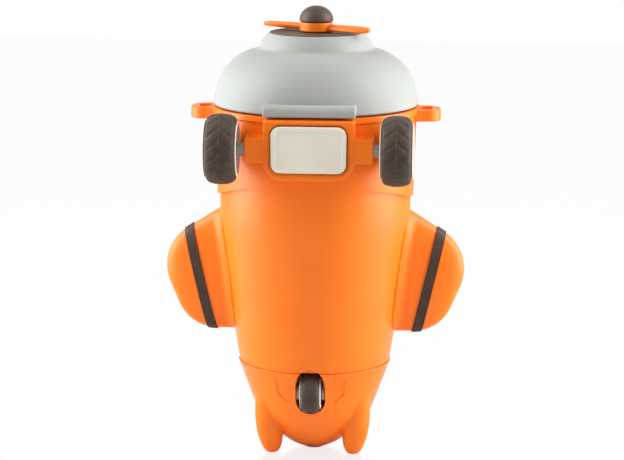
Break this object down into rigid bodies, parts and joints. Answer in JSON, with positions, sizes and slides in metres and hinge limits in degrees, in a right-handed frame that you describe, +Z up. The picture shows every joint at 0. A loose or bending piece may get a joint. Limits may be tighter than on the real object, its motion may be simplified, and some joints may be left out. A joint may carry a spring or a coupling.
{
  "type": "aeroplane drinking bottle",
  "caption": "Child's drinking bottle shaped as a small aeroplane standing on its tail, with a flip lid nose, a propeller, wheels and a push button catch.",
  "frame": {"origin": "centre of the tail's flat pad, on the floor, on the bottle's axis", "axes": "+Z up along the bottle's axis from tail to nose, -Y to the belly with button and wheels, +X to the wing on the viewer's right when the belly is seen"},
  "size_m": [0.125, 0.1085, 0.1877],
  "materials": {
    "orange_plastic": "satin moulded plastic, orange",
    "grey_plastic": "satin moulded plastic, light warm grey",
    "cream_plastic": "smooth moulded plastic, cream",
    "pale_plastic": "moulded plastic, pale grey",
    "axle_plastic": "moulded plastic, mid grey",
    "brown_plastic": "moulded plastic, dark brown",
    "brown_rubber": "soft rubber, dark brown",
    "tyre_rubber": "matt tyre rubber, dark brown",
    "silicone": "translucent silicone",
    "white_plastic": "food-safe white plastic",
    "steel": "stainless steel"
  },
  "bodies": {
    "bottle": {"fuselage_sleeve": "orange_plastic", "flask": "steel", "tail_boot": "orange_plastic", "wing_left": "orange_plastic", "wing_right": "orange_plastic", "wing_band_left": "brown_rubber", "wing_band_right": "brown_rubber", "tail_axle": "axle_plastic"},
    "tail_wheel": {"tail_tyre": "tyre_rubber", "tail_hub": "pale_plastic"},
    "head": {"collar": "orange_plastic", "neck_gasket": "silicone", "drinking_spout": "white_plastic", "hinge_pin": "steel", "wheel_axle_left": "axle_plastic", "wheel_axle_right": "axle_plastic", "axle_cap_left": "axle_plastic", "axle_cap_right": "axle_plastic"},
    "wheel_left": {"wheel_tyre_left": "tyre_rubber", "wheel_hub_left": "pale_plastic"},
    "wheel_right": {"wheel_tyre_right": "tyre_rubber", "wheel_hub_right": "pale_plastic"},
    "button": {"release_button": "cream_plastic", "button_spring": "steel"},
    "lid": {"lid_shell": "grey_plastic", "lid_liner": "white_plastic", "lid_seal": "silicone", "nose_disc": "brown_plastic"},
    "propeller": {"propeller": "orange_plastic", "spinner": "brown_plastic", "propeller_shaft": "steel", "shaft_clip": "steel"}
  },
  "joints": [
    {"name": "head_lift", "type": "slide", "parent": "bottle", "child": "head", "axis": [0, 0, 1], "range_m": [0, 0.03]},
    {"name": "lid_hinge", "type": "hinge", "parent": "head", "child": "lid", "pos_m": [0, 0.0475, 0.147], "axis": [-1, 0, 0], "range_deg": [0, 110]},
    {"name": "button_press", "type": "slide", "parent": "head", "child": "button", "axis": [0, 1, 0], "range_m": [0, 0.002], "stiffness_N_per_m": 300, "deforming": ["button_spring"]},
    {"name": "propeller_spin", "type": "hinge", "parent": "lid", "child": "propeller", "pos_m": [0, 0, 0.17725], "axis": [0, 0, 1], "continuous": true},
    {"name": "wheel_left_spin", "type": "hinge", "parent": "head", "child": "wheel_left", "pos_m": [-0.0351, -0.0432, 0.134], "axis": [1, 0, 0], "continuous": true},
    {"name": "wheel_right_spin", "type": "hinge", "parent": "head", "child": "wheel_right", "pos_m": [0.0351, -0.0432, 0.134], "axis": [1, 0, 0], "continuous": true},
    {"name": "tail_wheel_spin", "type": "hinge", "parent": "bottle", "child": "tail_wheel", "pos_m": [0, -0.0245, 0.0295], "axis": [1, 0, 0], "continuous": true}
  ]
}
